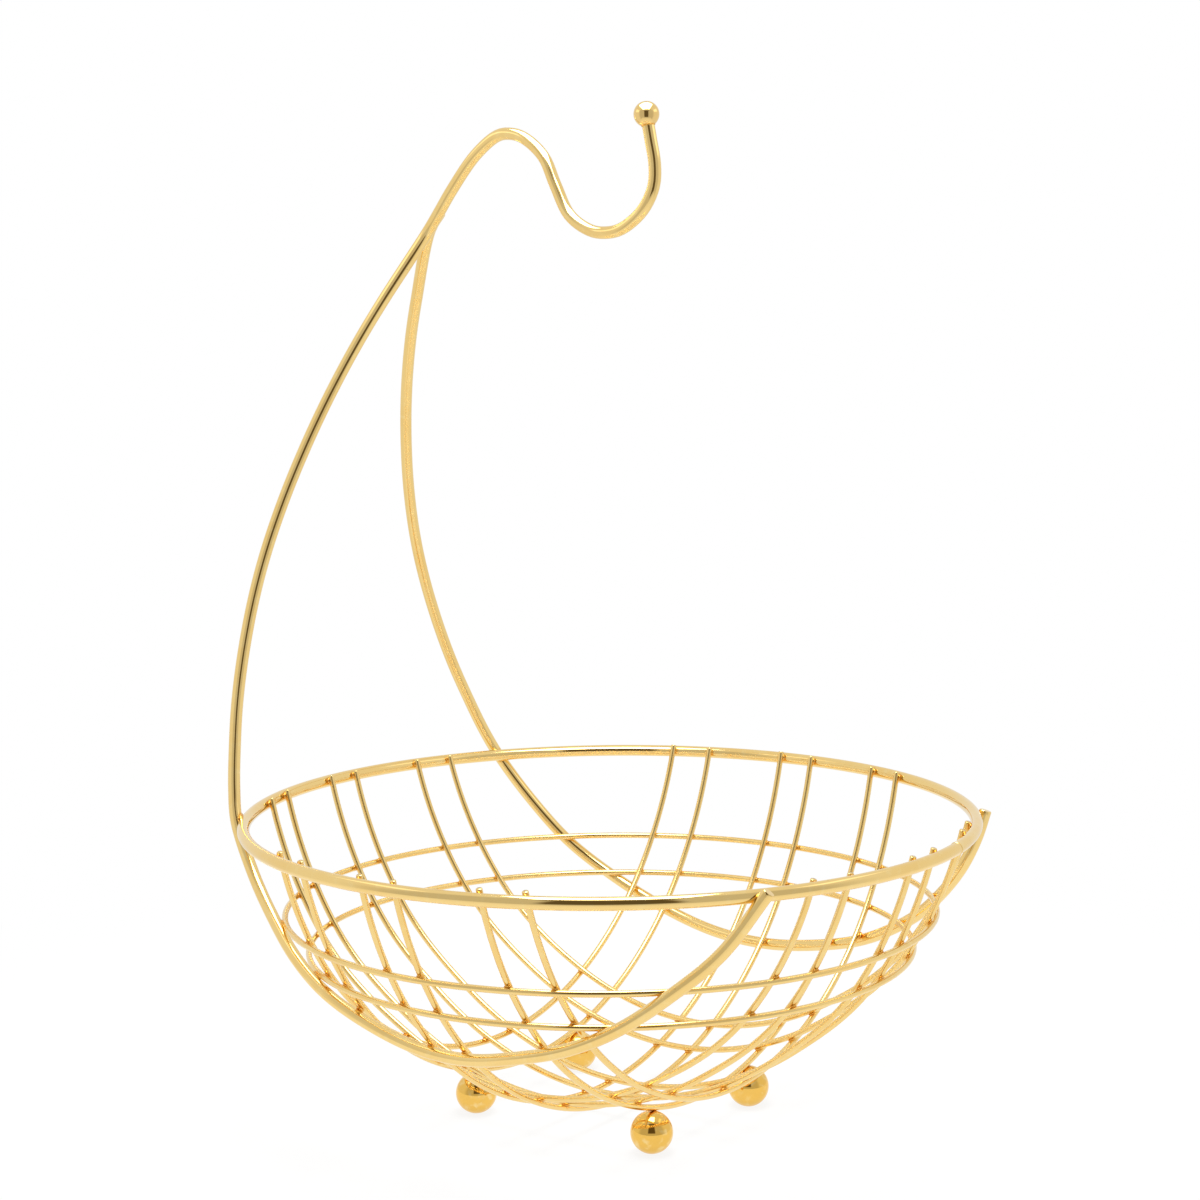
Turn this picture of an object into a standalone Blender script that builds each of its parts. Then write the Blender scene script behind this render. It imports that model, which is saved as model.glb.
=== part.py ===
"""Fruit basket with a banana hanger: a welded wire bowl on four ball feet, with two
heavy wires that hug the bowl, rise behind it and run together into a hook.

The origin is on the surface that the basket stands on, below the bowl's centre.
+Z is up, +X is the way that the hook overhangs, and the left arm is on the -Y side.
"""
import math

import bmesh
import bpy
from mathutils import Vector

# Stock, in metres
HEAVY_WIRE = 0.0050
FINE_WIRE = 0.0025
FOOT_BALL = 0.0164
FOOT_FLAT = 0.0036
HOOK_BALL = 0.0101
HOOK_SOCKET_DEPTH = 0.0045
WELD_GAP = 0.0003

# The bowl is pressed over half of an egg-shaped mould, and this is the mould that the
# centre lines of the cross ribs lie on
MOULD_HALF_WIDTH = 0.1487
MOULD_DEPTH = 0.1582
RIM_HEIGHT = 0.1231
UPPER_HOOP_HEIGHT = 0.0867
LOWER_HOOP_HEIGHT = 0.0718
RIB_TIP_RISE = 0.0004

# The ribs stand in pairs: how far apart the middles of the pairs are, and the two
# wires of a pair, and how much farther out they all stand at the bottom of the bowl
PAIR_PITCH = 0.0499
WIRE_PITCH = 0.0157
RIB_LEAN_SHARE = 0.04
FOOT_STANCE = 0.0348

# The hanger above the bowl, and how far round it the branch is turned to its back
JUNCTION_HEIGHT = 0.3579
ARM_REACH = 0.1421
HOOK_SPAN = 0.1151
ARCH_RISE = 0.0385
BRANCH_LAP = 0.0090
ARM_CROSSING = math.radians(145.4)
BRANCH_TURN = math.radians(29)

# Where each arm lies round the outside of the bowl, from the back of the rim to its
# front: degrees from the hook's side, and height on the mould as a share of the rim's
LEFT_ARM_SHARES = (
    (141.6, 0.855), (136.0, 0.738), (127.5, 0.630), (119.0, 0.548), (108.0, 0.471),
    (96.0, 0.428), (84.0, 0.427), (72.0, 0.467), (62.0, 0.522), (53.0, 0.606),
    (45.0, 0.720), (38.5, 0.847), (32.9, 1.028))
RIGHT_ARM_SHARES = (
    (140.7, 0.852), (134.0, 0.697), (125.0, 0.578), (113.5, 0.480), (100.0, 0.420),
    (86.0, 0.407), (72.0, 0.434), (58.5, 0.498), (47.0, 0.613), (39.9, 0.725),
    (36.4, 0.832), (36.0, 0.926), (36.0, 1.015))
# The arms above the rim: share of the way up to the junction, and of the arm's reach
ARM_SWEEP_SHARES = (
    (0.05, 0.914), (0.12, 0.948), (0.19, 0.975), (0.27, 0.993), (0.36, 1.0), (0.44, 0.993),
    (0.53, 0.969), (0.62, 0.931), (0.71, 0.881), (0.80, 0.818), (0.88, 0.750))
JUNCTION_REACH_SHARE = 0.634
# The arch and the hook: share of the hook's span, and of the arch's rise
HOOK_SHARES = (
    (0.058, 0.215), (0.120, 0.450), (0.228, 0.795), (0.328, 0.985), (0.382, 1.000),
    (0.444, 0.950), (0.530, 0.745), (0.580, 0.452), (0.639, 0.140), (0.725, -0.020),
    (0.790, -0.050), (0.859, -0.015), (0.947, 0.165), (0.993, 0.400), (0.998, 0.620),
    (0.983, 0.860), (0.966, 1.117))

# How finely the wires are bent and the balls turned
RIM_STEPS = 80
HOOP_STEPS = 64
RIB_STEPS = 24
HEAVY_STEP = 0.0104
BALL_SIDES = 18
BALL_STEPS = 9
HEAVY_RESOLUTION = 3
FINE_RESOLUTION = 2
SHARP_EDGE = math.radians(50)

# Sizes that follow from these
HEAVY_RADIUS = HEAVY_WIRE / 2
FINE_RADIUS = FINE_WIRE / 2
FOOT_RADIUS = FOOT_BALL / 2
FOOT_CENTRE = math.sqrt(FOOT_RADIUS ** 2 - (FOOT_FLAT / 2) ** 2)
HOOP_OFFSET = FINE_WIRE + WELD_GAP
RIM_OFFSET = FINE_RADIUS + WELD_GAP + HEAVY_RADIUS
ARM_ON_RIB = FINE_RADIUS + WELD_GAP + HEAVY_RADIUS
ARM_ON_HOOP = HOOP_OFFSET + ARM_ON_RIB
ARM_ON_RIM = RIM_OFFSET + HEAVY_WIRE + WELD_GAP
CROSSING_LIFT = FINE_WIRE + WELD_GAP


def remove_all():
    for thing in list(bpy.data.objects):
        bpy.data.objects.remove(thing)


def metal(name, colour, roughness):
    """A plated metal, which each piece has a copy of under its own name."""
    material = bpy.data.materials.new(name)
    material.use_nodes = True
    shader = material.node_tree.nodes["Principled BSDF"]
    shader.inputs["Base Color"].default_value = (*colour, 1.0)
    shader.inputs["Metallic"].default_value = 1.0
    shader.inputs["Roughness"].default_value = roughness
    material.diffuse_color = (*colour, 1.0)
    return material


def gold_wire(name):
    return metal(name + "_gold", (0.86, 0.62, 0.27), 0.16)


def gold_ball(name):
    return metal(name + "_gold", (0.88, 0.65, 0.30), 0.12)


def mould_section(offset):
    """Half width and depth of the mould's section at a distance from its middle."""
    half_width = math.sqrt(MOULD_HALF_WIDTH ** 2 - offset ** 2)
    return half_width, MOULD_DEPTH * half_width / MOULD_HALF_WIDTH


def leaned(offset, turn):
    """The distance of a rib from the bowl's middle, at an angle from the rib's bottom."""
    return offset * (1 + RIB_LEAN_SHARE * math.cos(turn))


FOOT_REACH = leaned(PAIR_PITCH - WIRE_PITCH / 2, math.asin(FOOT_STANCE / MOULD_HALF_WIDTH))


def mould_centre_height():
    """The mould's centre stands where the cross ribs rest on the foot balls."""
    half_width, depth = mould_section(FOOT_REACH)
    turn = math.asin(FOOT_STANCE / half_width)
    slope = math.atan2(depth * math.sin(turn), half_width * math.cos(turn))
    seat = (FOOT_RADIUS + WELD_GAP + FINE_RADIUS) / math.cos(slope)
    return FOOT_CENTRE + seat + depth * math.cos(turn)


MOULD_CENTRE = mould_centre_height()


def mould_radius(height):
    share = (MOULD_CENTRE - height) / MOULD_DEPTH
    return MOULD_HALF_WIDTH * math.sqrt(1 - share ** 2)


def mould_normal(point):
    """The direction straight out of the mould at a point on it."""
    across = MOULD_HALF_WIDTH ** 2
    drop = (point.z - MOULD_CENTRE) / MOULD_DEPTH ** 2
    return Vector((point.x / across, point.y / across, drop)).normalized()


def on_mould(azimuth, height, offset):
    """A point that stands off the mould, at an azimuth and a height on it."""
    radius = mould_radius(height)
    foot = Vector((radius * math.cos(azimuth), radius * math.sin(azimuth), height))
    return foot + mould_normal(foot) * offset


def ease(share):
    """0 to 1 with a level start and end."""
    share = min(max(share, 0.0), 1.0)
    return share * share * (3 - 2 * share)


def smooth_path(stations, step):
    """A smooth curve through the stations, with a point about every step."""
    first = stations[0] * 2 - stations[1]
    last = stations[-1] * 2 - stations[-2]
    knots = [first, *stations, last]
    points = []
    for index in range(1, len(knots) - 2):
        before, start, end, after = knots[index - 1:index + 3]
        count = max(2, round((end - start).length / step))
        for part in range(count):
            share = part / count
            points.append(spline_point(before, start, end, after, share))
    points.append(stations[-1])
    return points


def spline_point(before, start, end, after, share):
    """Centripetal Catmull-Rom, so that uneven stations make no loops or bulges."""
    times = [0.0]
    corners = (before, start, end, after)
    for left, right in zip(corners, corners[1:]):
        times.append(times[-1] + math.sqrt((right - left).length))
    moment = times[1] + share * (times[2] - times[1])

    def blend(low, high, low_time, high_time):
        weight = (moment - low_time) / (high_time - low_time)
        return low.lerp(high, weight)

    first = blend(before, start, times[0], times[1])
    second = blend(start, end, times[1], times[2])
    third = blend(end, after, times[2], times[3])
    first = blend(first, second, times[0], times[2])
    second = blend(second, third, times[1], times[3])
    return blend(first, second, times[1], times[2])


def wire(name, points, diameter, resolution, closed=False):
    """A round wire bent along the points, with filled ends."""
    curve = bpy.data.curves.new(name, "CURVE")
    curve.dimensions = "3D"
    curve.bevel_depth = diameter / 2
    curve.bevel_resolution = resolution
    curve.use_fill_caps = not closed
    curve.render_resolution_u = 0
    spline = curve.splines.new("POLY")
    spline.points.add(len(points) - 1)
    for knot, point in zip(spline.points, points):
        knot.co = (*point, 1.0)
    spline.use_cyclic_u = closed
    spline.use_smooth = True
    curve.materials.append(gold_wire(name))
    piece = bpy.data.objects.new(name, curve)
    bpy.context.collection.objects.link(piece)
    return piece


def turned_ball(name, outline):
    """A ball turned about +Z from an outline of (radius, height), axis to axis."""
    mesh = bmesh.new()
    rings = []
    for radius, height in outline:
        if radius == 0:
            rings.append([mesh.verts.new((0, 0, height))])
            continue
        angles = [2 * math.pi * side / BALL_SIDES for side in range(BALL_SIDES)]
        rings.append([mesh.verts.new((radius * math.cos(angle), radius * math.sin(angle), height))
                      for angle in angles])
    for lower, upper in zip(rings, rings[1:]):
        for side in range(BALL_SIDES):
            after = (side + 1) % BALL_SIDES
            corners = (lower[side % len(lower)], lower[after % len(lower)],
                       upper[after % len(upper)], upper[side % len(upper)])
            mesh.faces.new(list(dict.fromkeys(corners)))
    bmesh.ops.recalc_face_normals(mesh, faces=mesh.faces)
    data = bpy.data.meshes.new(name)
    mesh.to_mesh(data)
    mesh.free()
    data.shade_smooth()
    data.set_sharp_from_angle(angle=SHARP_EDGE)
    data.materials.append(gold_ball(name))
    piece = bpy.data.objects.new(name, data)
    bpy.context.collection.objects.link(piece)
    return piece


def ball_arc(radius, start, end):
    """Points of a ball's outline between two angles from its lowest point."""
    turns = [start + (end - start) * step / BALL_STEPS for step in range(BALL_STEPS + 1)]
    return [(radius * math.sin(turn), -radius * math.cos(turn)) for turn in turns]


def hoop(name, height, offset, diameter, resolution, steps):
    """A closed hoop outside the ribs, level with a height on the mould."""
    points = [on_mould(2 * math.pi * step / steps, height, offset) for step in range(steps)]
    return wire(name, points, diameter, resolution, closed=True)


def hoops():
    hoop("rim_hoop", RIM_HEIGHT, RIM_OFFSET, HEAVY_WIRE, HEAVY_RESOLUTION, RIM_STEPS)
    for name, height in (("upper_hoop", UPPER_HOOP_HEIGHT), ("lower_hoop", LOWER_HOOP_HEIGHT)):
        hoop(name, height, HOOP_OFFSET, FINE_WIRE, FINE_RESOLUTION, HOOP_STEPS)


def rib_offsets():
    """Distances of the six wires of a set from the bowl's middle: three pairs."""
    return [pair * PAIR_PITCH + side * WIRE_PITCH / 2 for pair in (-1, 0, 1) for side in (-1, 1)]


def rib_points(offset):
    """One rib's centre line on the mould, along +X, from tip to tip."""
    tip_height = on_mould(0, RIM_HEIGHT, RIM_OFFSET).z + HEAVY_RADIUS + RIB_TIP_RISE
    _, depth = mould_section(offset)
    reach = math.acos((MOULD_CENTRE - tip_height) / depth)
    points = []
    for step in range(RIB_STEPS + 1):
        turn = reach * (2 * step / RIB_STEPS - 1)
        across = leaned(offset, turn)
        half_width, depth = mould_section(across)
        height = MOULD_CENTRE - depth * math.cos(turn)
        points.append(Vector((half_width * math.sin(turn), across, height)))
    return points


def lifted(point):
    """Moves a long rib in, so that it lies over the cross ribs wherever they cross."""
    widest = math.sqrt(2) * leaned(PAIR_PITCH + WIRE_PITCH / 2, 0)
    level = mould_radius(LOWER_HOOP_HEIGHT)
    radius = math.hypot(point.x, point.y)
    share = 1 - ease((radius - widest) / (level - widest))
    return point - mould_normal(point) * CROSSING_LIFT * share


def ribs():
    for number, offset in enumerate(rib_offsets(), 1):
        long_points = [lifted(point) for point in rib_points(offset)]
        wire(f"long_rib_{number}", long_points, FINE_WIRE, FINE_RESOLUTION)
        cross_points = [Vector((point.y, point.x, point.z)) for point in rib_points(offset)]
        wire(f"cross_rib_{number}", cross_points, FINE_WIRE, FINE_RESOLUTION)


def arm_standoff(height, lowest):
    """How far an arm's centre line is off the mould, over ribs, hoops and rim."""
    if height < LOWER_HOOP_HEIGHT:
        share = ease((height - lowest) / (LOWER_HOOP_HEIGHT - lowest))
        return ARM_ON_RIB + (ARM_ON_HOOP - ARM_ON_RIB) * share
    share = ease((height - UPPER_HOOP_HEIGHT) / (RIM_HEIGHT - UPPER_HOOP_HEIGHT))
    return ARM_ON_HOOP + (ARM_ON_RIM - ARM_ON_HOOP) * share


def arm_round_bowl(shares, side):
    """Stations of one arm from the front of the rim, under the bowl, to its back."""
    lowest = min(share for _, share in shares) * RIM_HEIGHT
    stations = []
    for azimuth, share in reversed(shares):
        height = share * RIM_HEIGHT
        standoff = arm_standoff(height, lowest)
        stations.append(on_mould(side * math.radians(azimuth), height, standoff))
    return stations


def arm_above_bowl(side, tip_shift):
    """Stations of one arm from the back of the rim up to the junction, beside which the
    shift brings its tip."""
    crossing = on_mould(ARM_CROSSING, RIM_HEIGHT, ARM_ON_RIM)
    climb = JUNCTION_HEIGHT - crossing.z
    stations = [Vector((crossing.x, side * crossing.y, crossing.z))]
    for rise, reach in (*ARM_SWEEP_SHARES, (1.0, JUNCTION_REACH_SHARE)):
        plain = Vector((-reach * ARM_REACH, side * crossing.y * (1 - rise),
                        crossing.z + rise * climb))
        stations.append(plain + tip_shift * rise ** 2)
    return stations


def hook_stations():
    start = Vector((-JUNCTION_REACH_SHARE * ARM_REACH, 0, JUNCTION_HEIGHT))
    return [start + Vector((across * HOOK_SPAN, 0, rise * ARCH_RISE))
            for across, rise in HOOK_SHARES]


def hanger():
    """The hook's wire with the left arm, and the right arm that is welded beside it."""
    left = arm_round_bowl(LEFT_ARM_SHARES, -1) + arm_above_bowl(-1, Vector())
    points = smooth_path(left + hook_stations(), HEAVY_STEP)
    wire("hanger_wire", points, HEAVY_WIRE, HEAVY_RESOLUTION)

    along = (hook_stations()[0] - left[-1]).normalized()
    behind = Vector((-along.z, 0, along.x))
    beside = Vector((0, math.cos(BRANCH_TURN), 0)) + behind * math.sin(BRANCH_TURN)
    tip_shift = beside * (HEAVY_WIRE + WELD_GAP)
    right = arm_round_bowl(RIGHT_ARM_SHARES, 1) + arm_above_bowl(1, tip_shift)
    right.append(right[-1] + along * BRANCH_LAP)
    wire("hanger_branch", smooth_path(right, HEAVY_STEP), HEAVY_WIRE, HEAVY_RESOLUTION)
    return points


def hook_ball(hook_points):
    """The ball on the hook's tip, with a blind socket that the wire goes into."""
    radius = HOOK_BALL / 2
    socket = HEAVY_RADIUS + WELD_GAP
    mouth = math.asin(socket / radius)
    outline = ball_arc(radius, mouth, math.pi)
    outline[-1] = (0, radius)
    floor = outline[0][1] + HOOK_SOCKET_DEPTH
    piece = turned_ball("hook_ball", [(0, floor), (socket, floor), *outline])
    tip = hook_points[-1]
    way = (tip - hook_points[-2]).normalized()
    piece.location = tip + way * (WELD_GAP - floor)
    piece.rotation_euler = way.to_track_quat("Z", "Y").to_euler()


def foot_balls():
    """Four balls under the inner wires of the outer cross pairs, flat where they stand."""
    flat = math.asin(FOOT_FLAT / 2 / FOOT_RADIUS)
    outline = ball_arc(FOOT_RADIUS, flat, math.pi)
    outline[-1] = (0, FOOT_RADIUS)
    for end, x in (("front", FOOT_REACH), ("back", -FOOT_REACH)):
        for side, y in (("left", -FOOT_STANCE), ("right", FOOT_STANCE)):
            base = (0, outline[0][1])
            piece = turned_ball(f"foot_ball_{end}_{side}", [base, *outline])
            piece.location = (x, y, FOOT_CENTRE)


def main():
    remove_all()
    hoops()
    ribs()
    hook_ball(hanger())
    foot_balls()


main()
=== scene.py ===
import itertools
import math
import random

import bpy
import numpy as np
from mathutils import Matrix, Vector, kdtree, noise


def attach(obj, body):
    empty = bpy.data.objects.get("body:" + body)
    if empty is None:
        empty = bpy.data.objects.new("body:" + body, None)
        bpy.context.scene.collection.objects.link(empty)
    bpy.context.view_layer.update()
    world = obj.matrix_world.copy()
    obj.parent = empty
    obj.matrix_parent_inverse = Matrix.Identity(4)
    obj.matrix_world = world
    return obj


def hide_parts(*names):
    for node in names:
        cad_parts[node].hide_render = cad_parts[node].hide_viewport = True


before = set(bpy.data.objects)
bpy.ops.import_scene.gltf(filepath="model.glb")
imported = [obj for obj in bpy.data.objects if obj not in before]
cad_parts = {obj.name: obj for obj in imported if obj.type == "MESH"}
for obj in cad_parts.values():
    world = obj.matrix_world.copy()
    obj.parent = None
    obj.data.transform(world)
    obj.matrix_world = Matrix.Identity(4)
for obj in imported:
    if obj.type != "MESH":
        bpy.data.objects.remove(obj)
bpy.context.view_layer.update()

# The looks of the fruit basket with a banana hanger: the polished gold wires with their
# cut ends, the weld at every crossing, the balls, and the white studio round them.
# All sizes are in metres and all angles in radians.

# Stock
HEAVY_WIRE = 0.0050
FINE_WIRE = 0.0025
FOOT_BALL = 0.0164
FOOT_FLAT = 0.0036
HOOK_BALL = 0.0101
WELD_GAP = 0.0003

# The mould that the bowl is pressed over, and what lies round it
MOULD_HALF_WIDTH = 0.1487
MOULD_DEPTH = 0.1582
RIM_HEIGHT = 0.1231
UPPER_HOOP_HEIGHT = 0.0867
LOWER_HOOP_HEIGHT = 0.0718
RIB_TIP_RISE = 0.0004
PAIR_PITCH = 0.0499
WIRE_PITCH = 0.0157
RIB_LEAN_SHARE = 0.04
FOOT_STANCE = 0.0348

# The hanger above the bowl
JUNCTION_HEIGHT = 0.3579
ARM_REACH = 0.1421
HOOK_SPAN = 0.1151
ARCH_RISE = 0.0385
BRANCH_LAP = 0.0090
ARM_CROSSING = math.radians(145.4)
BRANCH_TURN = math.radians(29)

# Where each arm lies round the outside of the bowl, from the back of the rim to its
# front: degrees from the hook's side, and height on the mould as a share of the rim's
LEFT_ARM_SHARES = (
    (141.6, 0.855), (136.0, 0.738), (127.5, 0.630), (119.0, 0.548), (108.0, 0.471),
    (96.0, 0.428), (84.0, 0.427), (72.0, 0.467), (62.0, 0.522), (53.0, 0.606),
    (45.0, 0.720), (38.5, 0.847), (32.9, 1.028))
RIGHT_ARM_SHARES = (
    (140.7, 0.852), (134.0, 0.697), (125.0, 0.578), (113.5, 0.480), (100.0, 0.420),
    (86.0, 0.407), (72.0, 0.434), (58.5, 0.498), (47.0, 0.613), (39.9, 0.725),
    (36.4, 0.832), (36.0, 0.926), (36.0, 1.015))
# The arms above the rim: share of the way up to the junction, and of the arm's reach
ARM_SWEEP_SHARES = (
    (0.05, 0.914), (0.12, 0.948), (0.19, 0.975), (0.27, 0.993), (0.36, 1.0), (0.44, 0.993),
    (0.53, 0.969), (0.62, 0.931), (0.71, 0.881), (0.80, 0.818), (0.88, 0.750))
JUNCTION_REACH_SHARE = 0.634
# The arch and the hook: share of the hook's span, and of the arch's rise
HOOK_SHARES = (
    (0.058, 0.215), (0.120, 0.450), (0.228, 0.795), (0.328, 0.985), (0.382, 1.000),
    (0.444, 0.950), (0.530, 0.745), (0.580, 0.452), (0.639, 0.140), (0.725, -0.020),
    (0.790, -0.050), (0.859, -0.015), (0.947, 0.165), (0.993, 0.400), (0.998, 0.620),
    (0.983, 0.860), (0.966, 1.117))

# How finely the pieces are made
RUN_STEP = 0.0020
RIM_STEPS = 400
HOOP_STEPS = 320
RIB_STEPS = 150
HEAVY_SIDES = 28
FINE_SIDES = 16
JUNCTION_WELD_SIDES = 20
# Balls in rings and segments, and rings of weld in segments and sides
FOOT_BALL_FINENESS = (40, 56)
HOOK_BALL_FINENESS = (32, 48)
BEAD_FINENESS = (9, 14)
RING_FINENESS = (40, 10)
SHARP_EDGE = math.radians(45)
# A direction that no wire starts in
SLANT = (0.31, 0.22, 0.93)

# Welding: how far one wire is sunk into the next, how far apart two may be to be welded,
# how many times that lies between two welds, and how often a weld's place is refined
WELD_SINK = 0.00015
WELD_REACH = 0.0012
WELD_SPACINGS = 4.0
REFINING_ROUNDS = 6

# The lump of metal at a weld, which the least sine keeps short between two nearly parallel
# wires, and the colour that the heat leaves round it
BEAD_REACH_SHARE = 0.80
BEAD_MARGIN = 0.00010
BEAD_THICKNESS = 0.00050
BEAD_LIMIT = 0.0035
BEAD_LEAST_SINE = 0.3
BEAD_LUMP_SCALE = 1.7
BEAD_LUMP_SHIFT = 100
BEAD_ROUGHNESS_SHARE = 0.10
TIP_BEAD_SHARE = 0.45
BEAD_SEED = 11
HEAT_SPREAD = 0.0010
HEAT_CORE_SHARE = 0.9
FOOT_SWELL = 0.0002
FOOT_WELD_SHARE = 0.97
COLLAR_THICKNESS = 0.00028
COLLAR_HEAT_SPREAD = 0.0005

# The weld in the crease of the junction, which runs on while the arms are within a number of
# wires from each other, and the butt weld of the rim
CREASE_WELD_SHARE = 0.62
CREASE_WIRES = 1.5
SEAM_TURN = math.radians(9)
SEAM_SWELL = 0.0002
SEAM_WIDTH = 0.0006

# The form of a wire's end: distance from the end, and share of the wire's radius there
CUT_END = ((0.0, 0.90), (0.00025, 0.985), (0.0006, 1.0))
CROPPED_END = ((0.0, 0.84), (0.00012, 0.95), (0.0004, 1.0))
CREASE_END = ((0.0, 0.1), (0.0008, 0.55), (0.002, 0.9), (0.004, 1.0))
TIP_SCATTER = 0.0005
TIP_SEED = 7

# Sizes that follow from these
HEAVY_RADIUS = HEAVY_WIRE / 2
FINE_RADIUS = FINE_WIRE / 2
FOOT_RADIUS = FOOT_BALL / 2
HOOK_BALL_RADIUS = HOOK_BALL / 2
FOOT_CENTRE = math.sqrt(FOOT_RADIUS ** 2 - (FOOT_FLAT / 2) ** 2)
HOOP_OFFSET = FINE_WIRE - WELD_SINK
RIM_OFFSET = FINE_RADIUS + HEAVY_RADIUS - WELD_SINK
ARM_ON_RIB = FINE_RADIUS + HEAVY_RADIUS - WELD_SINK
ARM_ON_HOOP = HOOP_OFFSET + ARM_ON_RIB
ARM_ON_RIM = RIM_OFFSET + HEAVY_WIRE - WELD_SINK
CROSSING_LIFT = FINE_WIRE - WELD_SINK

# The photograph's view: where the camera stands, the way it looks, and its lens
VIEW_TURN = 0.62593
CAMERA_DISTANCE = 1.00657
CAMERA_HEIGHT = 0.33439
CAMERA_YAW = -0.00295
CAMERA_PITCH = 0.12256
CAMERA_ROLL = -0.01113
SENSOR_MM = 36.0
LENS_MM = 75.97

# The plain white tent that the basket is lit in: a box along the camera's line. In its light
# levels 1 is white. The cloth is dimmer towards the front, where it has a dark opening for
# the camera, and a light strip runs along the top of each side.
TENT_HALF_WIDTH = 0.42
TENT_REACH = 0.55
TENT_HEIGHT = 0.60
TENT_STEP = 0.02
BACK_LEVEL = 0.88
FRONT_LEVEL = 0.62
DIMMING_START = -0.10
DIMMING_END = -0.32
OPENING_LEVEL = 0.12
OPENING_HALF_WIDTH = 0.18
OPENING_FOOT = 0.10
OPENING_IN_ROOF = 0.17
STRIP_LEVEL = 1.4
STRIP_HALF_LENGTH = 0.15
STRIP_HEIGHT = 0.10
SOFT_EDGE = 0.05
# Dark places in the tent are tinted: fully below the first of these levels, and not at
# all above the second
WHITE = (1.0, 1.0, 1.0)
DARK_TINT = (1.0, 0.80, 0.48)
TINTED_RANGE = (0.10, 0.45)

# The softbox below the roof, and the level of the white outside the tent where it is
# neither seen nor mirrored
LAMP_AWAY = -0.073
LAMP_HEIGHT = 0.595
LAMP_WIDTH = 0.28
LAMP_LENGTH = 0.315
LAMP_LEVEL = 7.5
UNSEEN_LEVEL = 0.60

# The floor: near the basket a part of it is white paint that takes the shadow, and the rest
# shines by itself, as all of it does past the ring. In the metal its outer part is dimmer.
FLOOR_HALF_WIDTH = 3.0
FLOOR_DROP = 0.0001
FLOOR_PAINT = (0.82, 0.82, 0.82)
SHADOW_RING = (0.20, 0.45)
SEEN_GLOW_SHARE = 0.84
MIRRORED_GLOW_SHARE = 0.80
NEAR_LEVEL = 1.03
DIM_RING = (0.15, 0.60)
MIRRORED_DIMMING = 0.16

# Gold plating, as it looks under plain white light, except the foot balls' gold, which is
# darkened with painted shade
GOLD = (0.925, 0.670, 0.265)
WARM_GOLD = (0.915, 0.640, 0.235)
PALE_GOLD = (0.930, 0.695, 0.295)
BALL_GOLD = (0.900, 0.635, 0.250)
BALL_WARM_GOLD = (0.890, 0.615, 0.225)
# Painted shade: the foot balls' gold is deeper than that of the other balls and the wires, and
# stands in for the shadowed floor close under them that they mirror
FOOT_SHADED_GOLD = (0.880, 0.540, 0.120)
FOOT_SHADED_WARM_GOLD = (0.865, 0.520, 0.105)
HEATED_GOLD = (0.850, 0.490, 0.120)
SCORCHED_GOLD = (0.300, 0.135, 0.030)

# The skin of the plating. A scale is how often its pattern repeats in a metre, and a range
# is where the pattern's value begins to show and where it shows fully.
DIE_LINE_SCALE = (30, 3200, 3200)
RIPPLE_SCALE = (55, 90, 90)
TONE_SCALE = 38.0
TONE_RANGE = (0.42, 0.68)
CLOUD_SCALE = 310.0
CLOUD_RANGE = (0.50, 0.75)
HEAT_PATCH_SCALE = 900.0
HEAT_PATCH_SHARE = 0.5
HEATED_RANGE = (0.20, 0.80)
SCORCHED_RANGE = (0.82, 1.12)
PIT_SCALE = 260.0
PIT_RANGE = (0.035, 0.075)
PIT_PATCH_SCALE = 120.0
PIT_PATCH_RANGE = (0.58, 0.66)
PIT_DARKNESS = 0.75
PEEL_SCALE = 1400.0
PEEL_SHARE = 0.5
SPLASH_SCALE = 1700.0
SPLASH_SHARE = 3.0

# What heat, clouds and pits add to the roughness
HEAT_DULLING_RANGE = (0.25, 0.95)
HEAT_DULLING = 0.12
CLOUD_DULLING_RANGE = (0.35, 0.75)
CLOUD_DULLING = 0.02
PIT_DULLING = 0.3

# The finishes: their roughness, the heat in the weld metal, the depth of their skin, and
# how strong the lines and the ripples are that the drawing die leaves on a wire
HEAVY_POLISH = 0.055
FINE_POLISH = 0.15
BALL_POLISH = 0.035
WELD_POLISH = 0.20
WELD_HEAT = 0.55
WIRE_SKIN_DEPTH = 0.00001
BALL_SKIN_DEPTH = 0.000002
WELD_SKIN_DEPTH = 0.00005
HEAVY_DIE_MARKS = (0.2, 1.0)
FINE_DIE_MARKS = (0.12, 0.6)


# Paths of the wires

def mould_section(offset):
    """Half width and depth of the mould's section at a distance from its middle."""
    half_width = math.sqrt(MOULD_HALF_WIDTH ** 2 - offset ** 2)
    return half_width, MOULD_DEPTH * half_width / MOULD_HALF_WIDTH


def leaned(offset, turn):
    """The distance of a rib from the bowl's middle, at an angle from the rib's bottom."""
    return offset * (1 + RIB_LEAN_SHARE * math.cos(turn))


FOOT_REACH = leaned(PAIR_PITCH - WIRE_PITCH / 2, math.asin(FOOT_STANCE / MOULD_HALF_WIDTH))


def mould_centre_height():
    """The mould's centre stands where the cross ribs rest on the foot balls."""
    half_width, depth = mould_section(FOOT_REACH)
    turn = math.asin(FOOT_STANCE / half_width)
    slope = math.atan2(depth * math.sin(turn), half_width * math.cos(turn))
    seat = (FOOT_RADIUS + WELD_GAP + FINE_RADIUS) / math.cos(slope)
    return FOOT_CENTRE + seat + depth * math.cos(turn)


MOULD_CENTRE = mould_centre_height()


def mould_radius(height):
    share = (MOULD_CENTRE - height) / MOULD_DEPTH
    return MOULD_HALF_WIDTH * math.sqrt(1 - share ** 2)


def mould_normal(point):
    """The direction straight out of the mould at a point on it."""
    across = MOULD_HALF_WIDTH ** 2
    drop = (point.z - MOULD_CENTRE) / MOULD_DEPTH ** 2
    return Vector((point.x / across, point.y / across, drop)).normalized()


def on_mould(azimuth, height, offset):
    """A point that stands off the mould, at an azimuth and a height on it."""
    radius = mould_radius(height)
    foot = Vector((radius * math.cos(azimuth), radius * math.sin(azimuth), height))
    return foot + mould_normal(foot) * offset


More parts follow.
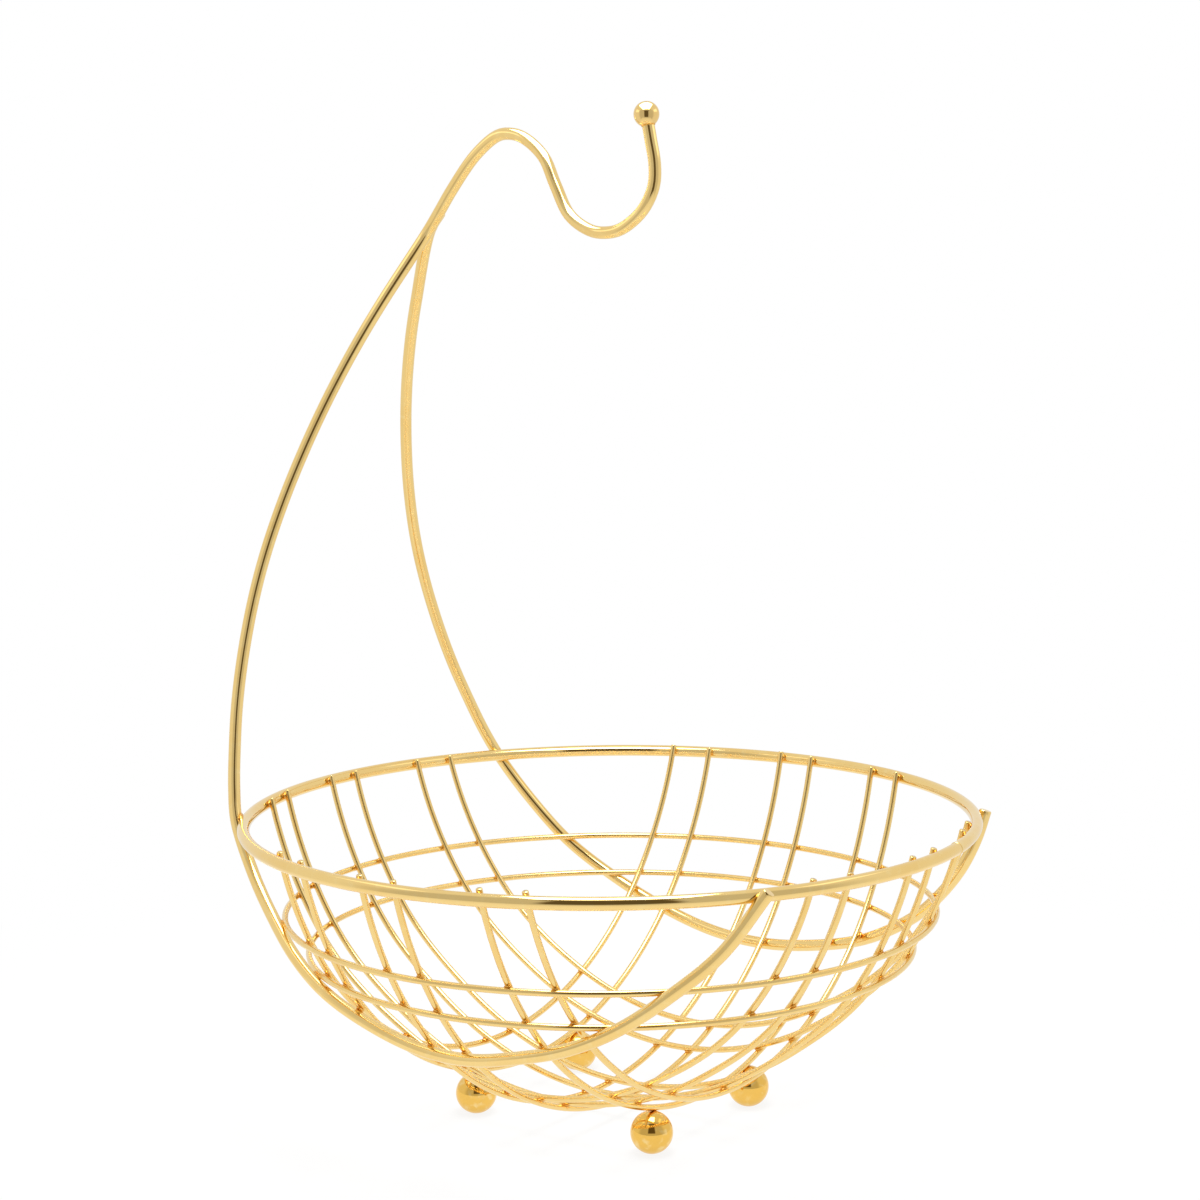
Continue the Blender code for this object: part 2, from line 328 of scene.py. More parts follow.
def ease(share):
    """0 to 1 with a level start and end."""
    share = min(max(share, 0.0), 1.0)
    return share * share * (3 - 2 * share)


def spline_point(before, start, end, after, share):
    """Centripetal Catmull-Rom, so that uneven stations make no loops or bulges."""
    times = [0.0]
    corners = (before, start, end, after)
    for left, right in zip(corners, corners[1:]):
        times.append(times[-1] + math.sqrt((right - left).length))
    moment = times[1] + share * (times[2] - times[1])

    def blend(low, high, low_time, high_time):
        weight = (moment - low_time) / (high_time - low_time)
        return low.lerp(high, weight)

    first = blend(before, start, times[0], times[1])
    second = blend(start, end, times[1], times[2])
    third = blend(end, after, times[2], times[3])
    first = blend(first, second, times[0], times[2])
    second = blend(second, third, times[1], times[3])
    return blend(first, second, times[1], times[2])


def smooth_path(stations, step):
    """A smooth curve through the stations, with a point about every step."""
    first = stations[0] * 2 - stations[1]
    last = stations[-1] * 2 - stations[-2]
    knots = [first, *stations, last]
    points = []
    for index in range(1, len(knots) - 2):
        before, start, end, after = knots[index - 1:index + 3]
        count = max(2, round((end - start).length / step))
        for part in range(count):
            points.append(spline_point(before, start, end, after, part / count))
    points.append(stations[-1])
    return points


def hoop_path(height, offset, steps):
    return [on_mould(2 * math.pi * step / steps, height, offset) for step in range(steps)]


def rib_offsets():
    """Distances of the six wires of a set from the bowl's middle: three pairs."""
    return [pair * PAIR_PITCH + side * WIRE_PITCH / 2 for pair in (-1, 0, 1) for side in (-1, 1)]


def rib_path(offset, chance):
    """One rib on the mould, along +X. Its two tips stand a little unevenly, as cut."""
    _, depth = mould_section(offset)
    tip_height = on_mould(0, RIM_HEIGHT, RIM_OFFSET).z + HEAVY_RADIUS + RIB_TIP_RISE
    reaches = []
    for _ in range(2):
        drop = MOULD_CENTRE - tip_height - chance.uniform(-1, 1) * TIP_SCATTER
        reaches.append(math.acos(drop / depth))
    points = []
    for step in range(RIB_STEPS + 1):
        share = step / RIB_STEPS
        turn = share * reaches[1] - (1 - share) * reaches[0]
        across = leaned(offset, turn)
        half_width, depth = mould_section(across)
        height = MOULD_CENTRE - depth * math.cos(turn)
        points.append(Vector((half_width * math.sin(turn), across, height)))
    return points


def lifted(point):
    """Moves a long rib in, so that it lies over the cross ribs wherever they cross."""
    widest = math.sqrt(2) * leaned(PAIR_PITCH + WIRE_PITCH / 2, 0)
    level = mould_radius(LOWER_HOOP_HEIGHT)
    radius = math.hypot(point.x, point.y)
    share = 1 - ease((radius - widest) / (level - widest))
    return point - mould_normal(point) * CROSSING_LIFT * share


def arm_standoff(height, lowest):
    """How far an arm's centre line is off the mould, over ribs, hoops and rim."""
    if height < LOWER_HOOP_HEIGHT:
        share = ease((height - lowest) / (LOWER_HOOP_HEIGHT - lowest))
        return ARM_ON_RIB + (ARM_ON_HOOP - ARM_ON_RIB) * share
    share = ease((height - UPPER_HOOP_HEIGHT) / (RIM_HEIGHT - UPPER_HOOP_HEIGHT))
    return ARM_ON_HOOP + (ARM_ON_RIM - ARM_ON_HOOP) * share


def arm_round_bowl(shares, side):
    """Stations of one arm from the front of the rim, under the bowl, to its back."""
    lowest = min(share for _, share in shares) * RIM_HEIGHT
    stations = []
    for azimuth, share in reversed(shares):
        height = share * RIM_HEIGHT
        standoff = arm_standoff(height, lowest)
        stations.append(on_mould(side * math.radians(azimuth), height, standoff))
    return stations


def arm_above_bowl(side, tip_shift):
    """Stations of one arm from the back of the rim up to the junction, beside which the
    shift brings its tip."""
    crossing = on_mould(ARM_CROSSING, RIM_HEIGHT, ARM_ON_RIM)
    climb = JUNCTION_HEIGHT - crossing.z
    stations = [Vector((crossing.x, side * crossing.y, crossing.z))]
    for rise, reach in (*ARM_SWEEP_SHARES, (1.0, JUNCTION_REACH_SHARE)):
        plain = Vector((-reach * ARM_REACH, side * crossing.y * (1 - rise),
                        crossing.z + rise * climb))
        stations.append(plain + tip_shift * rise ** 2)
    return stations


def hook_stations():
    start = Vector((-JUNCTION_REACH_SHARE * ARM_REACH, 0, JUNCTION_HEIGHT))
    return [start + Vector((across * HOOK_SPAN, 0, rise * ARCH_RISE))
            for across, rise in HOOK_SHARES]


def hanger_path():
    """The left arm, the arch and the hook, which are one wire."""
    left = arm_round_bowl(LEFT_ARM_SHARES, -1) + arm_above_bowl(-1, Vector())
    return smooth_path(left + hook_stations(), RUN_STEP)


def branch_path():
    """The right arm, whose tip lies beside the hanger wire and somewhat behind it."""
    along = (hook_stations()[0] - arm_above_bowl(-1, Vector())[-1]).normalized()
    behind = Vector((-along.z, 0, along.x))
    beside = Vector((0, math.cos(BRANCH_TURN), 0)) + behind * math.sin(BRANCH_TURN)
    tip_shift = beside * (HEAVY_WIRE - WELD_SINK)
    right = arm_round_bowl(RIGHT_ARM_SHARES, 1) + arm_above_bowl(1, tip_shift)
    right.append(right[-1] + along * BRANCH_LAP)
    return smooth_path(right, RUN_STEP)


# Meshes

def mesh_object(name, verts, faces, material, attributes=()):
    """A smooth shaded object. An attribute is (name, type, values, property)."""
    data = bpy.data.meshes.new(name)
    data.from_pydata([tuple(vert) for vert in verts], [], faces)
    for label, kind, values, field in attributes:
        layer = data.attributes.new(label, kind, "POINT")
        layer.data.foreach_set(field, np.asarray(values, np.float32).ravel())
    data.materials.append(material)
    data.shade_smooth()
    data.set_sharp_from_angle(angle=SHARP_EDGE)
    data.update()
    piece = bpy.data.objects.new(name, data)
    bpy.context.collection.objects.link(piece)
    return piece


def unit(rows):
    return rows / np.linalg.norm(rows, axis=-1, keepdims=True)


class Wire:
    """A round wire: its centre line, its radius, and a frame at each of its points."""

    def __init__(self, name, path, radius, closed=False):
        self.name = name
        self.radius = radius
        self.closed = closed
        self.line = np.array([tuple(point) for point in path])
        self.set_frames()

    def set_frames(self):
        """Sets the ways along and across the wire, carried from point to point untwisted."""
        line = self.line
        if self.closed:
            ahead = np.roll(line, -1, axis=0) - np.roll(line, 1, axis=0)
        else:
            ahead = np.gradient(line, axis=0)
        self.way = unit(ahead)
        steps = np.linalg.norm(np.diff(line, axis=0), axis=1)
        self.run = np.concatenate([[0.0], np.cumsum(steps)])
        sides = [unit(np.cross(self.way[0], SLANT))]
        for way in self.way[1:]:
            carried = sides[-1] - way * np.dot(sides[-1], way)
            sides.append(unit(carried))
        self.side = np.array(sides)
        if self.closed:
            self.undo_twist()
        self.up = np.cross(self.way, self.side)

    def undo_twist(self):
        """Spreads the turn between the first and the last frame over the whole hoop."""
        way = self.way[0]
        last = unit(self.side[-1] - way * np.dot(self.side[-1], way))
        twist = math.atan2(np.dot(np.cross(last, self.side[0]), way), np.dot(last, self.side[0]))
        count = len(self.line)
        up = np.cross(self.way, self.side)
        angles = (np.arange(count) / count * twist)[:, None]
        self.side = np.cos(angles) * self.side + np.sin(angles) * up

    def trimmed(self, end):
        """Rings of the wire, as places along it and shares of its radius, with both ends
        in the given form."""
        length = self.run[-1]
        reach = end[-1][0]
        kept = [(place, 1.0) for place in self.run if reach < place < length - reach]
        final = [(length - distance, share) for distance, share in reversed(end)]
        return [*end, *kept, *final]


def interpolated(run, rows, places):
    return np.stack([np.interp(places, run, rows[:, axis]) for axis in range(3)], axis=-1)


def wire_piece(wire, sides, material, heat, end):
    """The wire's surface, which carries where each point is along it and round it."""
    if wire.closed:
        places = wire.run
        shares = np.ones(len(places))
        line, side, up = wire.line, wire.side, wire.up
    else:
        rings = wire.trimmed(end)
        places = np.array([place for place, _ in rings])
        shares = np.array([share for _, share in rings])
        line = interpolated(wire.run, wire.line, places)
        side = unit(interpolated(wire.run, wire.side, places))
        up = unit(interpolated(wire.run, wire.up, places))
    angles = np.arange(sides) * 2 * math.pi / sides
    spokes = (np.cos(angles)[None, :, None] * side[:, None, :]
              + np.sin(angles)[None, :, None] * up[:, None, :])
    verts = line[:, None, :] + spokes * (wire.radius * shares)[:, None, None]
    count = len(places)
    rounds = np.stack([np.repeat(places, sides),
                       np.tile(np.cos(angles) * wire.radius, count),
                       np.tile(np.sin(angles) * wire.radius, count)], axis=-1)
    verts = verts.reshape(-1, 3)
    faces = tube_faces(count, sides, wire.closed)
    if not wire.closed:
        centres = line[[0, -1]]
        verts = np.vstack([verts, centres])
        rounds = np.vstack([rounds, [(places[0], 0, 0), (places[-1], 0, 0)]])
        faces += cap_faces(count, sides)
    attributes = (("wire_run", "FLOAT_VECTOR", rounds, "vector"),
                  ("weld_heat", "FLOAT", heat(verts), "value"))
    return mesh_object(wire.name, verts, faces, material, attributes)


def tube_faces(count, sides, closed):
    faces = []
    for ring in range(count if closed else count - 1):
        after = (ring + 1) % count
        for corner in range(sides):
            beside = (corner + 1) % sides
            faces.append((ring * sides + corner, ring * sides + beside,
                          after * sides + beside, after * sides + corner))
    return faces


def cap_faces(count, sides):
    """Fans that close both ends of a tube, round the two vertices after its rings."""
    first = count * sides
    last = first + 1
    base = (count - 1) * sides
    faces = []
    for corner in range(sides):
        beside = (corner + 1) % sides
        faces.append((first, beside, corner))
        faces.append((last, base + corner, base + beside))
    return faces


def ball_mesh(radius, rings, segments):
    """Points and faces of a ball round the origin, with its poles on Z."""
    verts = [(0, 0, -radius)]
    for ring in range(1, rings):
        turn = math.pi * ring / rings
        for segment in range(segments):
            angle = 2 * math.pi * segment / segments
            verts.append((radius * math.sin(turn) * math.cos(angle),
                          radius * math.sin(turn) * math.sin(angle),
                          -radius * math.cos(turn)))
    verts.append((0, 0, radius))
    faces = []
    last = len(verts) - 1
    for segment in range(segments):
        beside = (segment + 1) % segments
        faces.append((0, 1 + beside, 1 + segment))
        for ring in range(rings - 2):
            base = 1 + ring * segments
            above = base + segments
            faces.append((base + segment, base + beside, above + beside, above + segment))
        base = 1 + (rings - 2) * segments
        faces.append((base + segment, base + beside, last))
    return np.array(verts), faces


def ring_mesh(radius, thickness, segments, sides):
    """Points and faces of a ring of round section about Z."""
    verts = []
    for segment in range(segments):
        angle = 2 * math.pi * segment / segments
        for corner in range(sides):
            turn = 2 * math.pi * corner / sides
            reach = radius + thickness * math.cos(turn)
            verts.append((reach * math.cos(angle), reach * math.sin(angle),
                          thickness * math.sin(turn)))
    return np.array(verts), tube_faces(segments, sides, True)


def turned_to(way):
    """A matrix that turns +Z into a wire's direction."""
    return np.array(Vector(way).to_track_quat("Z", "Y").to_matrix())


# Welds

class Weld:
    """A place where two wires are welded: its middle, the way from one wire to the
    other, the two directions of the wires there, and the wires' radii."""

    def __init__(self, middle, across, ways, radii):
        self.middle = middle
        self.across = across
        self.ways = ways
        self.radii = radii


def closest_pairs(first, second):
    """Places where two wires touch or nearly touch, nearest first."""
    gaps = np.linalg.norm(first.line[:, None, :] - second.line[None, :, :], axis=2)
    touch = first.radius + second.radius + WELD_REACH
    found = []
    while True:
        row, column = np.unravel_index(np.argmin(gaps), gaps.shape)
        if gaps[row, column] > touch:
            return found
        found.append((row, column))
        near = np.linalg.norm(first.line - first.line[row], axis=1) < WELD_SPACINGS * touch
        gaps[near, :] = np.inf


def refined(wire, index, target):
    """The point of the wire's centre line beside an index that is nearest to a target."""
    count = len(wire.line)
    best = None
    for low in (index - 1, index):
        if not wire.closed and not 0 <= low < count - 1:
            continue
        start = wire.line[low % count]
        span = wire.line[(low + 1) % count] - start
        share = np.clip(np.dot(target - start, span) / np.dot(span, span), 0, 1)
        point = start + span * share
        if best is None or np.linalg.norm(point - target) < np.linalg.norm(best - target):
            best = point
    return best


def welds_between(first, second):
    welds = []
    for row, column in closest_pairs(first, second):
        here, there = first.line[row], second.line[column]
        for _ in range(REFINING_ROUNDS):
            here = refined(first, row, there)
            there = refined(second, column, here)
        across = there - here
        distance = np.linalg.norm(across)
        if distance > first.radius + second.radius + WELD_REACH:
            continue
        across = across / distance
        middle = here + across * distance * first.radius / (first.radius + second.radius)
        ways = (first.way[row], second.way[column])
        at_tip = at_heavy_tip(first, row) or at_heavy_tip(second, column)
        share = TIP_BEAD_SHARE if at_tip else 1.0
        radii = (first.radius * share, second.radius * share)
        welds.append(Weld(middle, across, ways, radii))
    return welds


def at_heavy_tip(wire, index):
    """Whether a full bead there would stick out past the cut end of a heavy wire."""
    tip_distance = min(wire.run[index], wire.run[-1] - wire.run[index])
    return not wire.closed and wire.radius == HEAVY_RADIUS and tip_distance < HEAVY_WIRE


def bead_points(weld, chance, verts):
    """A lump of metal in the corners between two crossing wires."""
    first, second = weld.ways
    if np.dot(first, second) < 0:
        second = -second
    along = unit(first + second)
    beside = np.cross(weld.across, along)
    half_turn = math.acos(min(1.0, np.dot(along, first)))
    radius = min(weld.radii) * BEAD_REACH_SHARE
    long_reach = min(radius / max(math.sin(half_turn), BEAD_LEAST_SINE), BEAD_LIMIT) + BEAD_MARGIN
    short_reach = radius / math.cos(half_turn) + BEAD_MARGIN
    thickness = BEAD_THICKNESS * (weld.radii[0] + weld.radii[1]) / (2 * FINE_RADIUS)
    shift = Vector([chance.uniform(0, BEAD_LUMP_SHIFT) for _ in range(3)])
    points = []
    for vert in verts:
        lump = 1 + BEAD_ROUGHNESS_SHARE * noise.noise(Vector(vert) * BEAD_LUMP_SCALE + shift)
        x, y, z = vert * lump
        points.append(weld.middle + along * x * long_reach + beside * y * short_reach
                      + weld.across * z * thickness)
    return points


def beads_piece(name, welds, material, chance):
    """The beads of one kind of weld, as one piece."""
    verts, faces = ball_mesh(1.0, *BEAD_FINENESS)
    all_verts = []
    all_faces = []
    for weld in welds:
        base = len(all_verts)
        all_verts += bead_points(weld, chance, verts)
        all_faces += [tuple(base + corner for corner in face) for face in faces]
    return mesh_object(name, all_verts, all_faces, material)


def heat_of(welds):
    """A function that tells how much the welding heat has coloured each point."""
    tree = kdtree.KDTree(len(welds))
    for index, weld in enumerate(welds):
        tree.insert(Vector(weld.middle), index)
    tree.balance()

    def heat(verts):
        values = []
        for vert in verts:
            _, index, distance = tree.find(Vector(vert))
            reach = max(0.0, distance - min(welds[index].radii) * HEAT_CORE_SHARE)
            values.append(math.exp(-(reach / HEAT_SPREAD) ** 2))
        return values

    return heat


# Materials

def group_tree(name, inputs, outputs):
    tree = bpy.data.node_groups.new(name, "ShaderNodeTree")
    for label, kind in inputs:
        tree.interface.new_socket(label, in_out="INPUT", socket_type=kind)
    for label, kind in outputs:
        tree.interface.new_socket(label, in_out="OUTPUT", socket_type=kind)
    return tree, tree.nodes.new("NodeGroupInput"), tree.nodes.new("NodeGroupOutput")


def set_inputs(tree, node, inputs):
    """Sets a node's inputs to values, or links them to sockets."""
    for label, value in inputs.items():
        if isinstance(value, bpy.types.NodeSocket):
            tree.links.new(value, node.inputs[label])
        else:
            node.inputs[label].default_value = value


def add(tree, kind, inputs=None, **settings):
    """A new node with its settings and inputs."""
    node = tree.nodes.new(kind)
    for field, value in settings.items():
        setattr(node, field, value)
    set_inputs(tree, node, inputs or {})
    return node


def maths(tree, operation, *values):
    return add(tree, "ShaderNodeMath", dict(enumerate(values)), operation=operation).outputs[0]


def between(tree, share, low, high):
    """low where the share is 0, and high where it is 1."""
    return maths(tree, "ADD", low, maths(tree, "MULTIPLY", share, high - low))


def ramp(tree, value, low, high):
    """0 below low, 1 above high, and a smooth step between them."""
    inputs = {"Value": value, "From Min": low, "From Max": high}
    node = add(tree, "ShaderNodeMapRange", inputs, interpolation_type="SMOOTHSTEP")
    return node.outputs["Result"]


def colour_mix(tree, share, low, high):
    """One colour over another. The node's sockets are taken by number, because those for
    colours have the same names as its others."""
    node = tree.nodes.new("ShaderNodeMix")
    node.data_type = "RGBA"
    for index, value in ((0, share), (6, low), (7, high)):
        if isinstance(value, bpy.types.NodeSocket):
            tree.links.new(value, node.inputs[index])
        else:
            node.inputs[index].default_value = (*value, 1.0)
    return node.outputs[2]


def scaled(tree, vector, scale):
    node = add(tree, "ShaderNodeMapping", {"Vector": vector, "Scale": scale})
    return node.outputs["Vector"]


def noise_of(tree, vector, scale, detail=2.0, roughness=0.5):
    inputs = {"Vector": vector, "Scale": scale, "Detail": detail, "Roughness": roughness}
    return add(tree, "ShaderNodeTexNoise", inputs).outputs["Fac"]


def drawing_marks_group():
    """Fine lines that the drawing die leaves along a wire, and its slow ripples."""
    tree, given, result = group_tree(
        "drawing_marks",
        (("Run", "NodeSocketVector"), ("Lines", "NodeSocketFloat"),
         ("Ripple", "NodeSocketFloat")),
        (("Height", "NodeSocketFloat"),))
    run = given.outputs["Run"]
    fine = noise_of(tree, scaled(tree, run, DIE_LINE_SCALE), 1.0)
    slow = noise_of(tree, scaled(tree, run, RIPPLE_SCALE), 1.0, detail=0.0)
    lines = maths(tree, "MULTIPLY", fine, given.outputs["Lines"])
    ripple = maths(tree, "MULTIPLY", slow, given.outputs["Ripple"])
    tree.links.new(maths(tree, "ADD", lines, ripple), result.inputs["Height"])
    return tree


def plating_group():
    """Colour and roughness of the plating: its patchy tone, weld heat and small pits."""
    tree, given, result = group_tree(
        "gold_plating",
        (("Place", "NodeSocketVector"), ("Heat", "NodeSocketFloat"),
         ("Gold", "NodeSocketColor"), ("Warm", "NodeSocketColor"),
         ("Pale", "NodeSocketColor"), ("Polish", "NodeSocketFloat")),
        (("Color", "NodeSocketColor"), ("Roughness", "NodeSocketFloat"),
         ("Pits", "NodeSocketFloat")))
    place = given.outputs["Place"]
    tone = noise_of(tree, place, TONE_SCALE, detail=3.0)
    cloud = noise_of(tree, place, CLOUD_SCALE)
    patches = noise_of(tree, place, HEAT_PATCH_SCALE, detail=3.0)
    uneven = maths(tree, "MULTIPLY", maths(tree, "SUBTRACT", patches, 0.5), HEAT_PATCH_SHARE)
    heat = maths(tree, "ADD", given.outputs["Heat"], uneven)
    cells = add(tree, "ShaderNodeTexVoronoi", {"Vector": place, "Scale": PIT_SCALE})
    sparse = ramp(tree, noise_of(tree, place, PIT_PATCH_SCALE, detail=1.0), *PIT_PATCH_RANGE)
    clear = ramp(tree, cells.outputs["Distance"], *PIT_RANGE)
    pits = maths(tree, "MULTIPLY", maths(tree, "SUBTRACT", 1.0, clear), sparse)

    colour = given.outputs["Gold"]
    for share, laid_over in (
            (ramp(tree, tone, *TONE_RANGE), given.outputs["Warm"]),
            (ramp(tree, cloud, *CLOUD_RANGE), given.outputs["Pale"]),
            (ramp(tree, heat, *HEATED_RANGE), HEATED_GOLD),
            (ramp(tree, heat, *SCORCHED_RANGE), SCORCHED_GOLD),
            (maths(tree, "MULTIPLY", pits, PIT_DARKNESS), SCORCHED_GOLD)):
        colour = colour_mix(tree, share, colour, laid_over)
    roughness = given.outputs["Polish"]
    for share, dulling in (
            (ramp(tree, heat, *HEAT_DULLING_RANGE), HEAT_DULLING),
            (ramp(tree, cloud, *CLOUD_DULLING_RANGE), CLOUD_DULLING),
            (pits, PIT_DULLING)):
        roughness = maths(tree, "ADD", roughness, maths(tree, "MULTIPLY", share, dulling))
    tree.links.new(colour, result.inputs["Color"])
    tree.links.new(roughness, result.inputs["Roughness"])
    tree.links.new(pits, result.inputs["Pits"])
    return tree


def gold_material(name, plating, polish, golds, build_height, skin_depth, heat=None):
    """A Principled metal with the plating group, and a bump built from a height. The
    heat is that of the weld_heat attribute, unless one is given for the whole piece."""
    material = bpy.data.materials.new(name)
    material.use_nodes = True
    tree = material.node_tree
    shader = tree.nodes["Principled BSDF"]
    place = add(tree, "ShaderNodeTexCoord").outputs["Object"]
    if heat is None:
        heat = add(tree, "ShaderNodeAttribute", attribute_name="weld_heat").outputs["Fac"]
    gold, warm, pale = ((*colour, 1.0) for colour in golds)
    coat = add(tree, "ShaderNodeGroup", node_tree=plating)
    set_inputs(tree, coat, {"Place": place, "Heat": heat, "Gold": gold, "Warm": warm,
                            "Pale": pale, "Polish": polish})
    height = build_height(tree, place, coat)
    bump = add(tree, "ShaderNodeBump", {"Height": height, "Distance": skin_depth})
    set_inputs(tree, shader, {"Metallic": 1.0, "Base Color": coat.outputs["Color"],
                              "Roughness": coat.outputs["Roughness"],
                              "Normal": bump.outputs["Normal"]})
    return material


def drawn_height(marks, lines, ripple):
    """Builds the height of a drawn wire: die lines, slow ripples, and the pits."""
    def build(tree, place, coat):
        run = add(tree, "ShaderNodeAttribute", attribute_name="wire_run").outputs["Vector"]
        drawn = add(tree, "ShaderNodeGroup", node_tree=marks)
        set_inputs(tree, drawn, {"Run": run, "Lines": lines, "Ripple": ripple})
        return maths(tree, "SUBTRACT", drawn.outputs["Height"], coat.outputs["Pits"])
    return build


def polished_height(tree, place, coat):
    """The faint orange peel of a tumbled and plated ball."""
    peel = maths(tree, "MULTIPLY", noise_of(tree, place, PEEL_SCALE), PEEL_SHARE)
    return maths(tree, "SUBTRACT", peel, coat.outputs["Pits"])


def splashed_height(tree, place, coat):
    """The lumpy skin of weld metal, which has no pits."""
    lumps = noise_of(tree, place, SPLASH_SCALE, detail=4.0, roughness=0.6)
    return maths(tree, "MULTIPLY", lumps, SPLASH_SHARE)


def materials():
    marks = drawing_marks_group()
    plating = plating_group()
    wire_golds = (GOLD, WARM_GOLD, PALE_GOLD)
    return {
        "heavy": gold_material("polished_heavy_gold", plating, HEAVY_POLISH, wire_golds,
                               drawn_height(marks, *HEAVY_DIE_MARKS), WIRE_SKIN_DEPTH),
        "fine": gold_material("polished_fine_gold", plating, FINE_POLISH, wire_golds,
                              drawn_height(marks, *FINE_DIE_MARKS), WIRE_SKIN_DEPTH),
        "ball": gold_material("mirror_gold", plating, BALL_POLISH,
                              (BALL_GOLD, BALL_WARM_GOLD, GOLD),
                              polished_height, BALL_SKIN_DEPTH),
        # The feet get the darker gold, which is painted shade for the floor shadow that they
        # mirror
        "foot": gold_material("mirror_foot_gold_painted_shade", plating, BALL_POLISH,
                              (FOOT_SHADED_GOLD, FOOT_SHADED_WARM_GOLD, GOLD),
                              polished_height, BALL_SKIN_DEPTH),
        "weld": gold_material("heated_weld_gold", plating, WELD_POLISH,
                              (HEATED_GOLD, HEATED_GOLD, WARM_GOLD),
                              splashed_height, WELD_SKIN_DEPTH, heat=WELD_HEAT)}


# Pieces of the basket

def make_wires():
    """Every wire of the basket by its CAD node's name."""
    chance = random.Random(TIP_SEED)
    wires = {}
    rim = hoop_path(RIM_HEIGHT, RIM_OFFSET, RIM_STEPS)
    wires["rim_hoop"] = Wire("rim_wire", rim, HEAVY_RADIUS, closed=True)
    for label, height in (("upper", UPPER_HOOP_HEIGHT), ("lower", LOWER_HOOP_HEIGHT)):
        path = hoop_path(height, HOOP_OFFSET, HOOP_STEPS)
        wires[label + "_hoop"] = Wire(label + "_hoop_wire", path, FINE_RADIUS, closed=True)
    for number, offset in enumerate(rib_offsets(), 1):
        path = [lifted(point) for point in rib_path(offset, chance)]
        wires[f"long_rib_{number}"] = Wire(f"long_rib_wire_{number}", path, FINE_RADIUS)
    for number, offset in enumerate(rib_offsets(), 1):
        path = [Vector((point.y, point.x, point.z)) for point in rib_path(offset, chance)]
        wires[f"cross_rib_{number}"] = Wire(f"cross_rib_wire_{number}", path, FINE_RADIUS)
    wires["hanger_wire"] = Wire("hanger_rod", hanger_path(), HEAVY_RADIUS)
    wires["hanger_branch"] = Wire("branch_rod", branch_path(), HEAVY_RADIUS)
    return wires


def wire_welds(wires):
    """All the welds between wires, by the name of the piece that their beads are in."""
    kinds = {"rim_welds": [], "upper_hoop_welds": [], "lower_hoop_welds": [],
             "rib_crossing_welds": [], "hanger_welds": []}
    owners = (("hanger_wire", "hanger_welds"), ("hanger_branch", "hanger_welds"),
              ("rim_hoop", "rim_welds"), ("upper_hoop", "upper_hoop_welds"),
              ("lower_hoop", "lower_hoop_welds"))
    for pair in itertools.combinations(sorted(wires), 2):
        if set(pair) == {"hanger_wire", "hanger_branch"}:
            continue
        kind = next((kind for node, kind in owners if node in pair), "rib_crossing_welds")
        kinds[kind] += welds_between(wires[pair[0]], wires[pair[1]])
    return kinds


def foot_welds():
    """Where each foot ball is welded below its rib."""
    welds = []
    half_width, depth = mould_section(FOOT_REACH)
    turn = math.asin(FOOT_STANCE / half_width)
    for x in (FOOT_REACH, -FOOT_REACH):
        for side in (-1, 1):
            seat = np.array((x, side * FOOT_STANCE, FOOT_CENTRE))
            rib = np.array((x, side * half_width * math.sin(turn),
                            MOULD_CENTRE - depth * math.cos(turn)))
            across = unit(rib - seat)
            way = unit(np.cross(across, (1.0, 0.0, 0.0)))
            middle = seat + across * FOOT_RADIUS * FOOT_WELD_SHARE
            welds.append(Weld(middle, across, (way, np.cross(across, way)),
                              (FINE_RADIUS, FINE_RADIUS)))
    return welds


def put(piece, slot, *nodes):
    """Puts a piece under the root body, and hides the CAD nodes that it is seen in place of. The
    slot is not used.
    """
    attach(piece, "root")
    if nodes:
        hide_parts(*nodes)


def foot_balls(material, heat):
    for end, x in (("front", FOOT_REACH), ("back", -FOOT_REACH)):
        for side, y in (("left", -FOOT_STANCE), ("right", FOOT_STANCE)):
            verts, faces = ball_mesh(FOOT_RADIUS + FOOT_SWELL, *FOOT_BALL_FINENESS)
            verts[:, 2] = np.maximum(verts[:, 2], -FOOT_CENTRE - FOOT_SWELL)
            verts += (x, y, FOOT_CENTRE + FOOT_SWELL)
            attributes = (("weld_heat", "FLOAT", heat(verts), "value"),)
            piece = mesh_object(f"foot_{end}_{side}", verts, faces, material, attributes)
            put(piece, "gold_balls", f"foot_ball_{end}_{side}")


def hook_ball(hanger, finish):
    """The ball on the hook's tip, and the ring of weld where the wire goes into it."""
    centre = hanger.line[-1]
    turn = turned_to(hanger.way[-1])
    verts, faces = ball_mesh(HOOK_BALL_RADIUS, *HOOK_BALL_FINENESS)
    off_wire = np.maximum(np.hypot(verts[:, 0], verts[:, 1]) - HEAVY_RADIUS, 0.0)
    heat = np.where(verts[:, 2] < 0, np.exp(-(off_wire / COLLAR_HEAT_SPREAD) ** 2), 0.0)
    attributes = (("weld_heat", "FLOAT", heat, "value"),)
    ball = mesh_object("hook_end_ball", verts @ turn.T + centre, faces, finish["ball"],
                       attributes)
    put(ball, "gold_balls", "hook_ball")
    neck = math.sqrt(HOOK_BALL_RADIUS ** 2 - HEAVY_RADIUS ** 2)
    verts, faces = ring_mesh(HEAVY_RADIUS, COLLAR_THICKNESS, *RING_FINENESS)
    verts = (verts + (0, 0, -neck)) @ turn.T + centre
    put(mesh_object("hook_ball_weld", verts, faces, finish["weld"]), "gold_balls")


